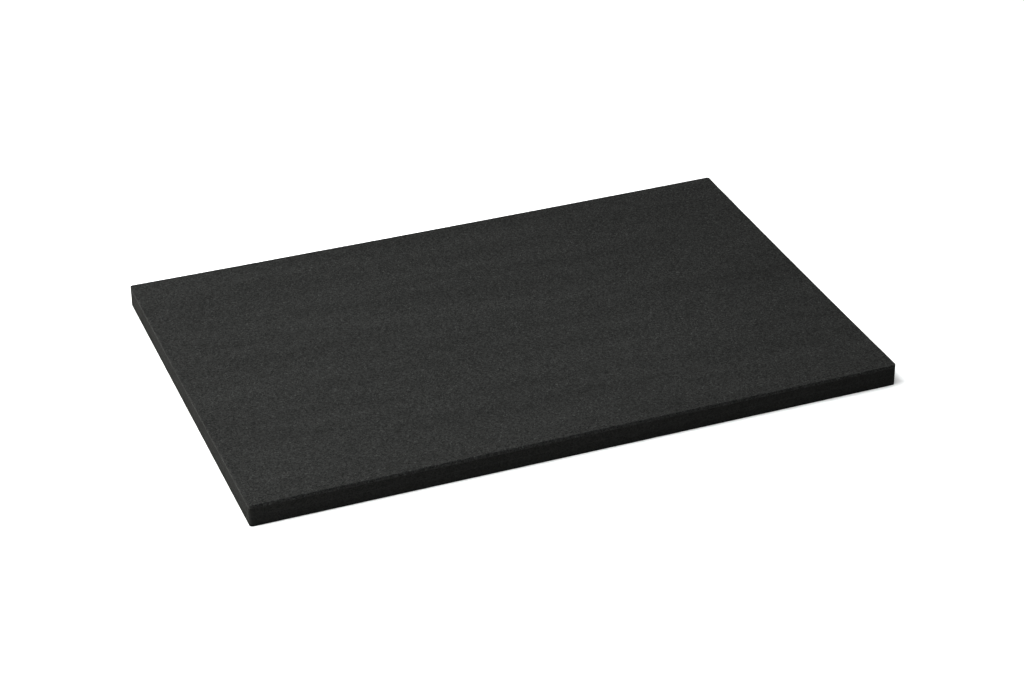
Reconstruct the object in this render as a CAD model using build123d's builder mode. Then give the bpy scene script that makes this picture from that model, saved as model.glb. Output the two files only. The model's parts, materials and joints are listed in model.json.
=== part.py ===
from build123d import *
from math import atan, degrees
import os

# A flat balance pad of closed-cell foam. Sheets of foam are bonded face to face, and the whole
# stack is cut to size in one cut, so every layer has the same outline.
# Millimetres. +Z is up and X runs along the pad. The origin is the centre of the underside.

# Overall size
pad_length = 600.0
pad_width = 400.0
pad_thickness = 21.0

# Layers: a denser sheet above and below, and two equal plies of softer foam between them
top_sheet_thickness = 3.0
base_sheet_thickness = 2.0
bond_film_thickness = 0.2
bond_film_count = 3
core_ply_count = 2
core_thickness = (
    pad_thickness
    - top_sheet_thickness
    - base_sheet_thickness
    - bond_film_count * bond_film_thickness
)
core_ply_thickness = core_thickness / core_ply_count

# Edges: the cut sides are upright up to the top sheet, whose own edge is drawn in by its tension
corner_radius = 2.5  # the four upright corners
top_edge_draw_in = 0.5  # how far the top sheet's edge leans in over its thickness
top_edge_lean = degrees(atan(top_edge_draw_in / top_sheet_thickness))
top_edge_radius = 0.6  # the edge around the standing face
base_edge_radius = 0.8  # the edge around the underside

# Height of each layer's lower face, counted up from the floor
base_bond_film_z = base_sheet_thickness
lower_core_ply_z = base_bond_film_z + bond_film_thickness
core_bond_film_z = lower_core_ply_z + core_ply_thickness
upper_core_ply_z = core_bond_film_z + bond_film_thickness
top_bond_film_z = upper_core_ply_z + core_ply_thickness
top_sheet_z = top_bond_film_z + bond_film_thickness

os.makedirs("parts", exist_ok=True)

# Base sheet: the dense sheet that lies on the floor, with its lower edge just eased
with BuildPart() as base_sheet:
    with BuildSketch():
        RectangleRounded(pad_length, pad_width, corner_radius)
    extrude(amount=base_sheet_thickness)
    underside = base_sheet.faces().sort_by(Axis.Z)[0]
    fillet(underside.edges(), radius=base_edge_radius)
base_sheet.part.label = "base_sheet"
export_step(base_sheet.part, "parts/base_sheet.step")

# Core plies: the soft foam that gives way underfoot, cut square on every side
core_plies = {
    "lower_core_ply": lower_core_ply_z,
    "upper_core_ply": upper_core_ply_z,
}
for name, height in core_plies.items():
    with BuildPart() as core_ply:
        with BuildSketch(Plane.XY.offset(height)):
            RectangleRounded(pad_length, pad_width, corner_radius)
        extrude(amount=core_ply_thickness)
    core_ply.part.label = name
    export_step(core_ply.part, f"parts/{name}.step")

# Bond films: the thin adhesive that holds each layer to the next, out to the cut edge
bond_films = {
    "base_bond_film": base_bond_film_z,
    "core_bond_film": core_bond_film_z,
    "top_bond_film": top_bond_film_z,
}
for name, height in bond_films.items():
    with BuildPart() as bond_film:
        with BuildSketch(Plane.XY.offset(height)):
            RectangleRounded(pad_length, pad_width, corner_radius)
        extrude(amount=bond_film_thickness)
    bond_film.part.label = name
    export_step(bond_film.part, f"parts/{name}.step")

# Top sheet: the dense sheet that is stood on. Its edge leans in and is rounded off at the top
with BuildPart() as top_sheet:
    with BuildSketch(Plane.XY.offset(top_sheet_z)):
        RectangleRounded(pad_length, pad_width, corner_radius)
    extrude(amount=top_sheet_thickness, taper=top_edge_lean)
    standing_face = top_sheet.faces().sort_by(Axis.Z)[-1]
    fillet(standing_face.edges(), radius=top_edge_radius)
top_sheet.part.label = "top_sheet"
export_step(top_sheet.part, "parts/top_sheet.step")
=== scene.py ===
"""Balance pad: a slab of bonded closed-cell foam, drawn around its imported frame."""

import json
import math

import bpy
import numpy as np
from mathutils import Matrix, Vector


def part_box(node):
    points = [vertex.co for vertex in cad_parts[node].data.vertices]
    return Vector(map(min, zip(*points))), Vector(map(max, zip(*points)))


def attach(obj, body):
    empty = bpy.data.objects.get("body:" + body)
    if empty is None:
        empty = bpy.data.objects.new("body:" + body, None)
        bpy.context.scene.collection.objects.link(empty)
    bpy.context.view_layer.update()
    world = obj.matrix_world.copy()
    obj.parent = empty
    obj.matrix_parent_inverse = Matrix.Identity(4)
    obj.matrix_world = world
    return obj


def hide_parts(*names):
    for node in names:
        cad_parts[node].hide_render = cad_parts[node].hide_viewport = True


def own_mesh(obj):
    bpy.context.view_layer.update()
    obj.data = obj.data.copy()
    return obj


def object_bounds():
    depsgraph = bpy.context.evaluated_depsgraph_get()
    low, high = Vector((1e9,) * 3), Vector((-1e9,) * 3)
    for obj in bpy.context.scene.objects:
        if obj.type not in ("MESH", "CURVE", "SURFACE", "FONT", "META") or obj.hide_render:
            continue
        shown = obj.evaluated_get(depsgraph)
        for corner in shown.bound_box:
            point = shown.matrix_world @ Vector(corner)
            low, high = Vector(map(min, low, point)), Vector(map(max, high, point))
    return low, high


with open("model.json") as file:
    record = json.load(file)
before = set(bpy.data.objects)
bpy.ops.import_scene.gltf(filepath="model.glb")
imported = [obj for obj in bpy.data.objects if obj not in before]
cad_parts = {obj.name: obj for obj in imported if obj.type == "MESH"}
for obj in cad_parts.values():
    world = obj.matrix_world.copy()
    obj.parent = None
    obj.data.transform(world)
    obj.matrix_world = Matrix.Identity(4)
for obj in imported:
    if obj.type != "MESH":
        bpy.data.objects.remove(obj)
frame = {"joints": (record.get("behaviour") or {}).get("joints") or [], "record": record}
cad_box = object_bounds()

MM = 0.001

# The pad's size and its layers' levels, from the frame
HALF_LENGTH, HALF_WIDTH, THICKNESS = cad_box[1]
LENGTH = 2 * HALF_LENGTH
TOP_SHEET_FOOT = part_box("top_sheet")[0].z
PLY_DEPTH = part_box("upper_core_ply")[1].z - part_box("upper_core_ply")[0].z

# The skin of every layer: an even grid over the flat, then rings out over the edge to its far face
CORNER_RADIUS = 2.5 * MM
GRID_STEP = 5 * MM
RINGS = 12
ARC_RINGS = 7  # the rings that round an eased edge
FLAT_RINGS = 3  # the rings before a square edge

# The rims: the standing face's is barely eased, the underside's a little more
RIM_RADIUS = 0.35 * MM
BASE_EDGE_RADIUS = 0.8 * MM

# How far the upper edges are drawn in: the top sheet's, which is bonded under tension, and the stack's
SHEET_PULL = {"front": 0.70 * MM, "back": 0.45 * MM, "left": 0.05 * MM, "right": 0.40 * MM}
STACK_PULL = {"front": 0, "back": 0.55 * MM, "left": 0, "right": 0.30 * MM}
PULL_FADE = 12  # the pull falls off inward as this power of the distance from the middle
WANDER_FADE = 60  # and the knife's wander as this one

DISH = 0.3 * MM  # how far the middle of the standing face lies below its corners
PLY_SWELL = 0.04 * MM  # how far a ply's cut edge stands out between its bond lines
KNIFE_WANDER = 0.04 * MM
ROLL_WAVE = 0.10 * MM  # the height of the long low waves left by the sheet's rolling
HIGHEST_WAVE = 1.2  # the waves are taken down by this, so the face stays under its corners

WARM = (1.0, 0.985, 0.94)
COOL = (0.93, 1.0, 0.99)
STUDIO_GREY = 0.88
SEEN_WALL = 0.7  # the backdrop's brightness to the eye
FILL = 0.05  # the light that it gives


# ---------------------------------------------------------------- camera

def place_camera():
    """A long lens on the front left, well above the pad. It looks at a point to the right of the middle,
    and the shift brings the pad back to the middle of the view."""
    azimuth, elevation = math.radians(22.10), math.radians(30.46)
    distance = 4.02 * LENGTH
    aim = Vector((0.0896 * LENGTH, -0.0293 * LENGTH, 0))
    away = Vector(
        (
            -math.sin(azimuth) * math.cos(elevation),
            -math.cos(azimuth) * math.cos(elevation),
            math.sin(elevation),
        )
    )
    lens = bpy.data.cameras.new("long_lens")
    lens.sensor_width = 36
    lens.lens = 91.82
    lens.shift_x = -0.0513
    lens.clip_start = 0.05
    lens.clip_end = 50
    camera = bpy.data.objects.new("camera", lens)
    camera.location = aim + away * distance
    camera.rotation_mode = "QUATERNION"
    camera.rotation_quaternion = away.to_track_quat("Z", "Y")
    bpy.context.scene.collection.objects.link(camera)
    bpy.context.scene.camera = camera


# ---------------------------------------------------------------- shape

def smooth_step(share):
    """0 below 0, 1 above 1, and between them three squares less two cubes."""
    share = np.clip(share, 0, 1)
    return share**2 * (3 - 2 * share)


def roll_waves(x, y):
    """Low waves that run the length of the sheet: three sines across it, each bent slowly by a sine
    along it, so that no wave is straight."""
    bend = 0.010 * np.sin(x * 9.0 + 0.6) + 0.006 * np.sin(x * 17.0 + 2.1)
    across = y + bend
    return (
        0.50 * np.sin(across * 2 * np.pi / 0.047 + 0.4)
        + 0.30 * np.sin((across + 0.02 * np.sin(x * 5)) * 2 * np.pi / 0.031 + 1.9)
        + 0.35 * np.sin((across - 0.03 * x) * 2 * np.pi / 0.083 + 3.1)
    )


def knife_wander(along, height, start):
    """The cutter's small wander off a straight line: sines along the cut that turn a little with height."""
    return KNIFE_WANDER * (
        np.sin(along * 61 + start)
        + 0.7 * np.sin(along * 143 + 2.3 * start + height * 40)
        + 0.5 * np.sin(along * 337 + 4.1 * start + height * 130)
    )


def settle(x, y, z):
    """The square-cut stack, pulled to its true shape. A point near an edge moves in with the sheet's pull,
    which grows from nothing at the sheet's foot, and with the stack's, which grows from the floor up. Both
    follow one less the square of the distance from mid-length, but for the sheet's front edge, which is
    drawn in evenly and lets go towards its corners, sooner on the right. The face dishes between its
    corners by one less the product of the squared shares of length and width, and carries the waves.
    Every layer goes through this one function, so layers that touch still touch."""
    s, t = x / HALF_LENGTH, y / HALF_WIDTH
    high = z / THICKNESS
    in_sheet = np.clip((z - TOP_SHEET_FOOT) / (THICKNESS - TOP_SHEET_FOOT), 0, 1)
    front_share = smooth_step(1 - s) * smooth_step((s + 1.15) * 2)
    sheet_x = np.where(x > 0, SHEET_PULL["right"], SHEET_PULL["left"]) * (1 - t**2)
    sheet_y = np.where(y > 0, SHEET_PULL["back"] * (1 - s**2), SHEET_PULL["front"] * front_share)
    stack_x = np.where(x > 0, STACK_PULL["right"], STACK_PULL["left"]) * (1 - t**2)
    stack_y = np.where(y > 0, STACK_PULL["back"], STACK_PULL["front"]) * (1 - s**2)
    wander_x = np.abs(knife_wander(y, z, np.where(x > 0, 0.7, 2.9))) * np.abs(s) ** WANDER_FADE
    wander_y = np.abs(knife_wander(x, z, np.where(y > 0, 5.2, 4.0))) * np.abs(t) ** WANDER_FADE
    pull_x = (sheet_x * in_sheet + stack_x * high) * np.abs(s) ** PULL_FADE
    pull_y = (sheet_y * in_sheet + stack_y * high) * np.abs(t) ** PULL_FADE
    moved_x = x - np.sign(x) * (pull_x + wander_x)
    moved_y = y - np.sign(y) * (pull_y + wander_y)
    dish = high * DISH * (1 - (s * t) ** 2)
    waves = high**4 * ROLL_WAVE * (roll_waves(x, y) - HIGHEST_WAVE)
    return moved_x, moved_y, z - dish + waves


def ringed_shell(offsets, heights):
    """Half of a layer's skin as a grid of points. Inside, the grid is flat and even. Outside it are rings:
    ring k stands offsets[k] beyond the flat and at heights[k]. Where two sets of rings cross at a corner,
    a point on ring k turns about the corner by its share of a quarter turn."""
    rings = len(offsets) - 1
    across_x = np.linspace(CORNER_RADIUS - HALF_LENGTH, HALF_LENGTH - CORNER_RADIUS, grid_count(HALF_LENGTH))
    across_y = np.linspace(CORNER_RADIUS - HALF_WIDTH, HALF_WIDTH - CORNER_RADIUS, grid_count(HALF_WIDTH))
    outward = np.arange(1, rings + 1)

    def line(across):
        ring = np.concatenate([-outward[::-1], np.zeros(len(across), int), outward])
        return np.pad(across, rings, mode="edge"), ring

    (x, ring_x), (y, ring_y) = line(across_x), line(across_y)
    x, y = np.meshgrid(x, y)
    a, b = np.meshgrid(ring_x, ring_y)
    ring = np.maximum(np.abs(a), np.abs(b))
    less = np.minimum(np.abs(a), np.abs(b)) / np.maximum(ring, 1)
    turn = np.where(np.abs(a) >= np.abs(b), less, 2 - less) * (math.pi / 4)
    reach = np.asarray(offsets)[ring]
    x = x + np.sign(a) * reach * np.cos(turn)
    y = y + np.sign(b) * reach * np.sin(turn)
    return x, y, np.asarray(heights)[ring]


def grid_count(half):
    return 2 * round((half - CORNER_RADIUS) / GRID_STEP) + 1


def closed_layer(name, upper, lower):
    """A closed skin from two shells that share their outermost ring. upper and lower are (offsets,
    heights) with the same number of rings."""
    ux, uy, uz = ringed_shell(*upper)
    lx, ly, lz = ringed_shell(*lower)
    rows, columns = ux.shape
    above = np.arange(ux.size).reshape(rows, columns)
    below = above.copy()
    inner = (slice(1, -1), slice(1, -1))
    below[inner] = ux.size + np.arange((rows - 2) * (columns - 2)).reshape(rows - 2, columns - 2)
    x, y, z = (np.concatenate([u.ravel(), w[inner].ravel()]) for u, w in ((ux, lx), (uy, ly), (uz, lz)))
    x, y, z = settle(x, y, z)

    def quads(index, flip):
        corners = [index[:-1, :-1], index[:-1, 1:], index[1:, 1:], index[1:, :-1]]
        return np.stack([c.ravel() for c in (corners[::-1] if flip else corners)], axis=1)

    faces = np.concatenate([quads(above, False), quads(below, True)])
    mesh = bpy.data.meshes.new(name)
    mesh.from_pydata(np.stack([x, y, z], axis=1), [], faces)
    mesh.polygons.foreach_set("use_smooth", np.ones(len(faces), bool))
    mesh.set_sharp_from_angle(angle=math.radians(40))
    mesh.validate()
    piece = bpy.data.objects.new(name, mesh)
    bpy.context.scene.collection.objects.link(piece)
    return piece


def flat_rings(height):
    """Rings that carry the flat out to the corner radius, all at one height."""
    return np.linspace(0, CORNER_RADIUS, RINGS + 1), np.full(RINGS + 1, height)


def square_cut(low, high):
    """Rings over a square upper edge and down the upright cut side. The side stands out between the
    bonds above and below it by one less the square of the distance from mid-height."""
    down = np.linspace(-1, 1, RINGS - FLAT_RINGS + 1)[1:]
    swell = PLY_SWELL * (high - low) / PLY_DEPTH
    flat = np.linspace(0, CORNER_RADIUS, FLAT_RINGS + 1)
    side = CORNER_RADIUS + swell * (1 - down**2)
    side_high = (high + low - (high - low) * down) / 2
    return np.concatenate([flat, side]), np.concatenate([np.full(len(flat), high), side_high])


def eased_edge(face, far, radius):
    """Rings out over a flat face, round its eased edge, a quarter of a circle, and on along the upright
    cut side as far as the other face."""
    turn = np.linspace(0, math.pi / 2, ARC_RINGS)
    arc_out = CORNER_RADIUS - radius * (1 - np.sin(turn))
    arc_high = face + math.copysign(radius, far - face) * (1 - np.cos(turn))
    side = RINGS - ARC_RINGS
    side_high = np.linspace(arc_high[-1], far, side + 1)[1:]
    offsets = np.concatenate([[0], arc_out, np.full(side, CORNER_RADIUS)])
    return offsets, np.concatenate([[face], arc_high, side_high])


def level(node):
    low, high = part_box(node)
    return low.z, high.z


# ---------------------------------------------------------------- shading

def socket(group, name, way, kind="NodeSocketFloat", value=None):
    made = group.interface.new_socket(name=name, in_out=way, socket_type=kind)
    if value is not None:
        made.default_value = value


def math_node(tree, operation, a, b=None, c=None, clamp=False):
    """A Math node. Each of a, b and c is a number or the output that feeds it."""
    node = tree.nodes.new("ShaderNodeMath")
    node.operation = operation
    node.use_clamp = clamp
    for slot, value in zip(node.inputs, (a, b, c)):
        if isinstance(value, (int, float)):
            slot.default_value = value
        elif value is not None:
            tree.links.new(value, slot)
    return node.outputs[0]


def foam_grain_group():
    """Closed cells cut open: a cellular grain, finer grit over it, and the odd cell painted lighter, a
    painted glint of a cell wall catching light.
    """
    group = bpy.data.node_groups.new("foam_grain", "ShaderNodeTree")
    socket(group, "Vector", "INPUT", "NodeSocketVector")
    socket(group, "Cells per metre", "INPUT", value=900.0)
    socket(group, "Contrast", "INPUT", value=0.3)
    socket(group, "Specks", "INPUT", value=0.03)
    socket(group, "Tone", "OUTPUT")
    socket(group, "Height", "OUTPUT")
    nodes, links = group.nodes, group.links
    given = nodes.new("NodeGroupInput")
    result = nodes.new("NodeGroupOutput")

    cells = nodes.new("ShaderNodeTexVoronoi")
    links.new(given.outputs["Vector"], cells.inputs["Vector"])
    links.new(given.outputs["Cells per metre"], cells.inputs["Scale"])
    cell_value = nodes.new("ShaderNodeSeparateColor")
    links.new(cells.outputs["Color"], cell_value.inputs[0])

    grit = nodes.new("ShaderNodeTexNoise")
    links.new(given.outputs["Vector"], grit.inputs["Vector"])
    grit_scale = math_node(group, "MULTIPLY", given.outputs["Cells per metre"], 1.3)
    links.new(grit_scale, grit.inputs["Scale"])
    grit.inputs["Detail"].default_value = 2.0
    grit.inputs["Roughness"].default_value = 0.6

    wall = math_node(group, "MULTIPLY_ADD", cells.outputs["Distance"], 1.2, -0.55)
    shade = math_node(group, "MULTIPLY_ADD", cell_value.outputs["Red"], 1.6, -0.8)
    fine = math_node(group, "MULTIPLY_ADD", grit.outputs["Fac"], 2.4, -1.2)
    mixed = math_node(group, "ADD", math_node(group, "ADD", wall, shade), fine)
    tone = math_node(group, "MULTIPLY_ADD", mixed, given.outputs["Contrast"], 1.0)
    # The odd cell's tone is raised here: a painted glint in the colour, not a lamp's reflection.
    rare = math_node(group, "SUBTRACT", 1.0, given.outputs["Specks"])
    speck = math_node(group, "GREATER_THAN", cell_value.outputs["Green"], rare)
    tone = math_node(group, "MULTIPLY_ADD", speck, 0.5, tone)
    links.new(math_node(group, "MAXIMUM", tone, 0.1), result.inputs["Tone"])

    height = math_node(group, "MULTIPLY_ADD", fine, 0.35, cells.outputs["Distance"])
    links.new(height, result.inputs["Height"])
    return group


def long_streak_group():
    """Soft lighter and darker streaks along the sheet's length."""
    group = bpy.data.node_groups.new("long_streaks", "ShaderNodeTree")
    socket(group, "Vector", "INPUT", "NodeSocketVector")
    socket(group, "Strength", "INPUT", value=0.05)
    socket(group, "Tone", "OUTPUT")
    nodes, links = group.nodes, group.links
    given = nodes.new("NodeGroupInput")
    result = nodes.new("NodeGroupOutput")
    stretch = nodes.new("ShaderNodeMapping")
    stretch.vector_type = "TEXTURE"
    stretch.inputs["Rotation"].default_value = (0, 0, math.radians(-3))
    stretch.inputs["Scale"].default_value = (0.22, 0.025, 0.025)
    links.new(given.outputs["Vector"], stretch.inputs["Vector"])
    noise = nodes.new("ShaderNodeTexNoise")
    noise.inputs["Scale"].default_value = 1.0
    noise.inputs["Detail"].default_value = 3.0
    links.new(stretch.outputs[0], noise.inputs["Vector"])
    centred = math_node(group, "MULTIPLY_ADD", noise.outputs["Fac"], 2.0, -1.0)
    links.new(
        math_node(group, "MULTIPLY_ADD", centred, given.outputs["Strength"], 1.0),
        result.inputs["Tone"],
    )
    return group


def foam_material(name, colour, grain, streaks, contrast, specks, cells, bump, roughness, specular):
    """Matt foam: the two shared effects set its tone and its height, and the rest is its own."""
    material = bpy.data.materials.new(name)
    material.use_nodes = True
    tree = material.node_tree
    nodes, links = tree.nodes, tree.links
    shader = nodes["Principled BSDF"]
    shader.inputs["Specular IOR Level"].default_value = specular

    place = nodes.new("ShaderNodeTexCoord")
    grain_node = nodes.new("ShaderNodeGroup")
    grain_node.node_tree = grain
    grain_node.inputs["Cells per metre"].default_value = cells
    grain_node.inputs["Contrast"].default_value = contrast
    grain_node.inputs["Specks"].default_value = specks
    links.new(place.outputs["Object"], grain_node.inputs["Vector"])
    streak_node = nodes.new("ShaderNodeGroup")
    streak_node.node_tree = streaks
    streak_node.inputs["Strength"].default_value = 0.20
    links.new(place.outputs["Object"], streak_node.inputs["Vector"])

    tone = math_node(tree, "MULTIPLY", grain_node.outputs["Tone"], streak_node.outputs["Tone"])
    tint = nodes.new("ShaderNodeVectorMath")
    tint.operation = "SCALE"
    tint.inputs[0].default_value = colour
    links.new(tone, tint.inputs["Scale"])
    links.new(tint.outputs[0], shader.inputs["Base Color"])

    rough = math_node(tree, "MULTIPLY_ADD", grain_node.outputs["Tone"], -0.05, roughness + 0.05, clamp=True)
    links.new(rough, shader.inputs["Roughness"])
    relief = nodes.new("ShaderNodeBump")
    relief.inputs["Strength"].default_value = bump
    relief.inputs["Distance"].default_value = 0.3 * MM
    links.new(grain_node.outputs["Height"], relief.inputs["Height"])
    links.new(relief.outputs[0], shader.inputs["Normal"])
    return material


# ---------------------------------------------------------------- stage

def soft_box(name, size, place, aim, power, colour=(1, 1, 1)):
    light = bpy.data.lights.new(name, "AREA")
    light.shape = "RECTANGLE"
    light.size, light.size_y = size
    light.energy = power
    light.color = colour
    lamp = bpy.data.objects.new(name, light)
    lamp.visible_camera = False
    lamp.location = place
    lamp.rotation_mode = "QUATERNION"
    lamp.rotation_quaternion = (Vector(place) - Vector(aim)).to_track_quat("Z", "Y")
    bpy.context.scene.collection.objects.link(lamp)


def set_stage():
    mesh = bpy.data.meshes.new("studio_floor")
    reach = 30.0
    mesh.from_pydata(
        [(-reach, -reach, 0), (reach, -reach, 0), (reach, reach, 0), (-reach, reach, 0)], [], [(0, 1, 2, 3)]
    )
    floor = bpy.data.objects.new("studio_floor", mesh)
    bpy.context.scene.collection.objects.link(floor)
    paper = bpy.data.materials.new("studio_paper")
    paper.use_nodes = True
    shader = paper.node_tree.nodes["Principled BSDF"]
    shader.inputs["Base Color"].default_value = (STUDIO_GREY, STUDIO_GREY, STUDIO_GREY, 1)
    shader.inputs["Roughness"].default_value = 0.9
    shader.inputs["Specular IOR Level"].default_value = 0.1
    mesh.materials.append(paper)

    world = bpy.data.worlds.new("studio")
    world.use_nodes = True
    nodes, links = world.node_tree.nodes, world.node_tree.links
    wall = nodes["Background"]
    wall.inputs["Color"].default_value = (1, 1, 1, 1)
    ray = nodes.new("ShaderNodeLightPath")
    strength = math_node(world.node_tree, "MULTIPLY_ADD", ray.outputs["Is Camera Ray"], SEEN_WALL, FILL)
    links.new(strength, wall.inputs["Strength"])
    bpy.context.scene.world = world
    bpy.context.scene.view_settings.view_transform = "Standard"
    bpy.context.scene.view_settings.look = "High Contrast"

    soft_box("overhead_box", (3.0, 3.0), (0, 0, 3.0), (0, 0.001, 0), 64)
    soft_box("left_window", (2.0, 1.0), (-3.0, 0.25, 0.8), (0, 0, 0), 68, WARM)
    soft_box("upper_left_box", (0.9, 0.9), (-0.8, 0.1, 1.3), (-0.2, 0, 0), 11)
    soft_box("middle_box", (0.6, 0.6), (-0.3, -0.05, 1.0), (-0.1, -0.05, 0), 4, COOL)
    soft_box("front_box", (0.6, 0.6), (-0.15, -0.6, 1.0), (0, 0, 0), 1.2, COOL)


# ---------------------------------------------------------------- the pad

place_camera()

grain = foam_grain_group()
streaks = long_streak_group()
finishes = {
    "top_sheet": foam_material(
        "top_sheet", (0.0281, 0.0282, 0.0276), grain, streaks,
        contrast=0.44, specks=0.05, cells=860.0, bump=0.35, roughness=0.9, specular=0.10,
    ),
    "core_foam": foam_material(
        "core_foam", (0.0228, 0.0228, 0.0220), grain, streaks,
        contrast=0.28, specks=0.0, cells=900.0, bump=0.3, roughness=0.9, specular=0.065,
    ),
    "base_sheet": foam_material(
        "base_sheet", (0.0228, 0.0228, 0.0220), grain, streaks,
        contrast=0.28, specks=0.0, cells=780.0, bump=0.3, roughness=0.9, specular=0.065,
    ),
    "bond_film": foam_material(
        "bond_film", (0.028, 0.028, 0.028), grain, streaks,
        contrast=0.1, specks=0.0, cells=1500.0, bump=0.1, roughness=0.7, specular=0.15,
    ),
}
finish_of = {s["node"]: s["material_slot"] for s in frame["record"]["subparts"]}
body_of = {
    node: body for body, nodes in frame["record"]["behaviour"]["bodies"].items() for node in nodes
}

skins = {}
for node in finish_of:
    low, high = level(node)
    if node == "top_sheet":
        shape = eased_edge(high, low, RIM_RADIUS), flat_rings(low)
    elif node == "base_sheet":
        shape = flat_rings(high), eased_edge(low, high, BASE_EDGE_RADIUS)
    else:
        shape = square_cut(low, high), flat_rings(low)
    skins[node] = closed_layer(node + "_foam", *shape)

press = frame["joints"][0]
squashed = [d["node"] for d in press["deforming_nodes"]]

for node, skin in skins.items():
    skin.data.materials.append(finishes[finish_of[node]])
    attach(skin, body_of[node])
    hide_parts(node)
    if node in squashed:
        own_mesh(skin)

set_stage()
